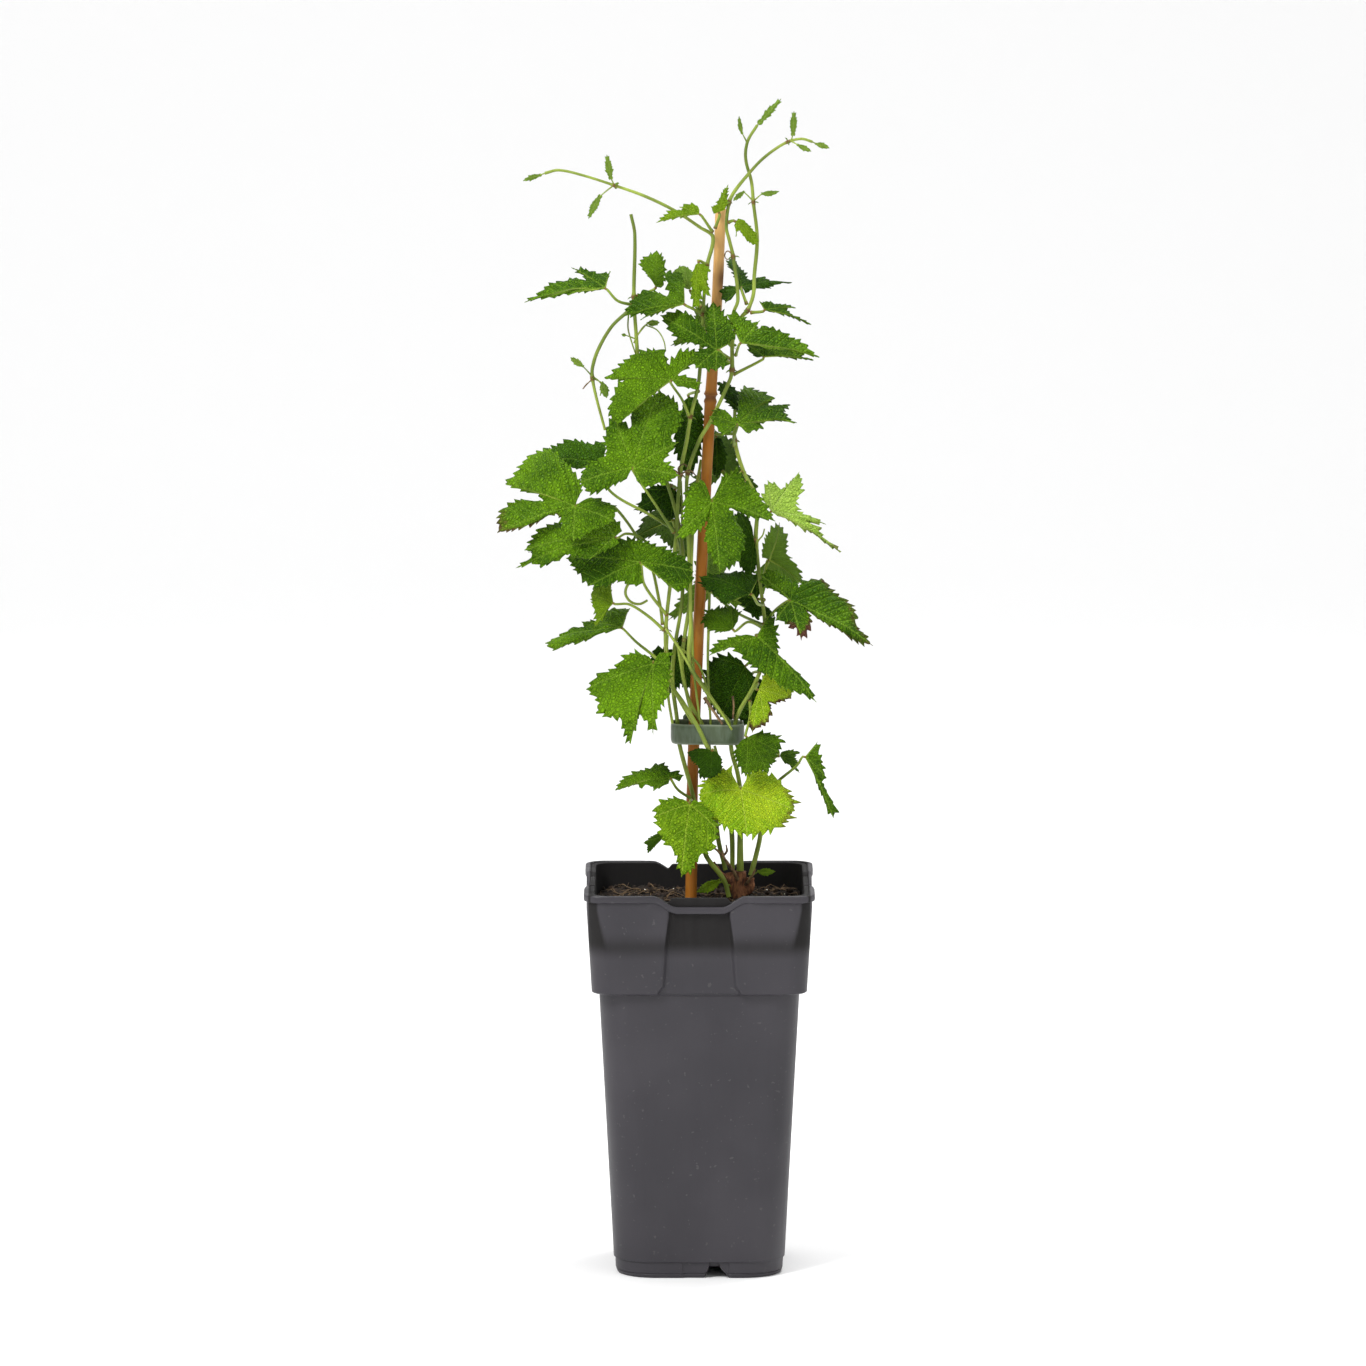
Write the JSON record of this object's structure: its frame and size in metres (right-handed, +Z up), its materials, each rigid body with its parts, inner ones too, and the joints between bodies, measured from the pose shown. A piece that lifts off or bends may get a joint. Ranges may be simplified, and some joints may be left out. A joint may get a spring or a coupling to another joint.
{
  "type": "potted hop plant",
  "caption": "Young hop plant with twining bines and lobed leaves, tied to a bamboo cane in a tall square nursery pot of peat.",
  "frame": {"origin": "middle of the pot's underside, on the floor", "axes": "+Z up through the pot, -Y towards the side that the picture shows, +X to its right"},
  "size_m": [0.1955, 0.12, 0.6138],
  "materials": {
    "pot_plastic": "dark warm-grey matte moulded plastic",
    "peat": "near-black fibrous peat",
    "bamboo": "tan to orange bamboo, satin",
    "tie_plastic": "grey-green smooth strap",
    "crown_bark": "reddish-brown flaking bark",
    "bine": "pale green with red-brown nodes, finely hairy",
    "leaf_deep": "deep green, rough, veined",
    "leaf_mid": "mid green, rough, veined",
    "leaf_lime": "young bright green, soft",
    "leaf_pale": "pale underside green with raised veins",
    "leaf_yellow": "yellowing green with brown dry margins"
  },
  "bodies": {
    "root": {"pot": "pot_plastic", "soil": "peat", "cane": "bamboo", "tie": "tie_plastic", "crown": "crown_bark", "bine_front": "bine", "bine_twin": "bine", "bine_crossing": "bine", "bine_right": "bine", "bine_left": "bine", "bine_inner": "bine", "shoot_left": "bine", "leaf_top_left": "leaf_lime", "leaf_top_right": "leaf_lime", "leaf_top_cane": "leaf_lime", "leaf_upper_fold": "leaf_deep", "leaf_upper_right": "leaf_mid", "leaf_upper_wide": "leaf_mid", "leaf_upper_low": "leaf_mid", "leaf_upper_front": "leaf_mid", "leaf_upper_left": "leaf_mid", "leaf_upper_back": "leaf_mid", "leaf_upper_mid": "leaf_mid", "leaf_upper_pale": "leaf_pale", "leaf_upper_hang": "leaf_lime", "leaf_mid_pale": "leaf_mid", "leaf_mid_big": "leaf_mid", "leaf_left_big": "leaf_mid", "leaf_left_back": "leaf_deep", "leaf_left_low": "leaf_mid", "leaf_left_hang": "leaf_mid", "leaf_left_fan": "leaf_lime", "leaf_left_dark": "leaf_mid", "leaf_left_mid": "leaf_deep", "leaf_left_front": "leaf_mid", "leaf_centre_high": "leaf_mid", "leaf_centre_dark": "leaf_deep", "leaf_centre_drop": "leaf_deep", "leaf_centre_shade": "leaf_deep", "leaf_centre_front": "leaf_mid", "leaf_right_pale": "leaf_pale", "leaf_right_big": "leaf_mid", "leaf_centre_low": "leaf_deep", "leaf_centre_small": "leaf_mid", "leaf_right_under": "leaf_mid", "leaf_right_dark": "leaf_deep", "leaf_right_yellow": "leaf_yellow", "leaf_tie_right": "leaf_mid", "leaf_tie_left": "leaf_deep", "leaf_low_small": "leaf_mid", "leaf_low_narrow": "leaf_mid", "leaf_low_left": "leaf_mid", "leaf_low_front": "leaf_lime", "leaf_low_yellow": "leaf_yellow", "leaf_base_left": "leaf_mid", "leaf_back_high": "leaf_mid", "leaf_back_mid": "leaf_deep", "leaf_back_low": "leaf_mid", "leaf_back_left": "leaf_deep", "leaf_back_right": "leaf_mid"}
  },
  "joints": []
}
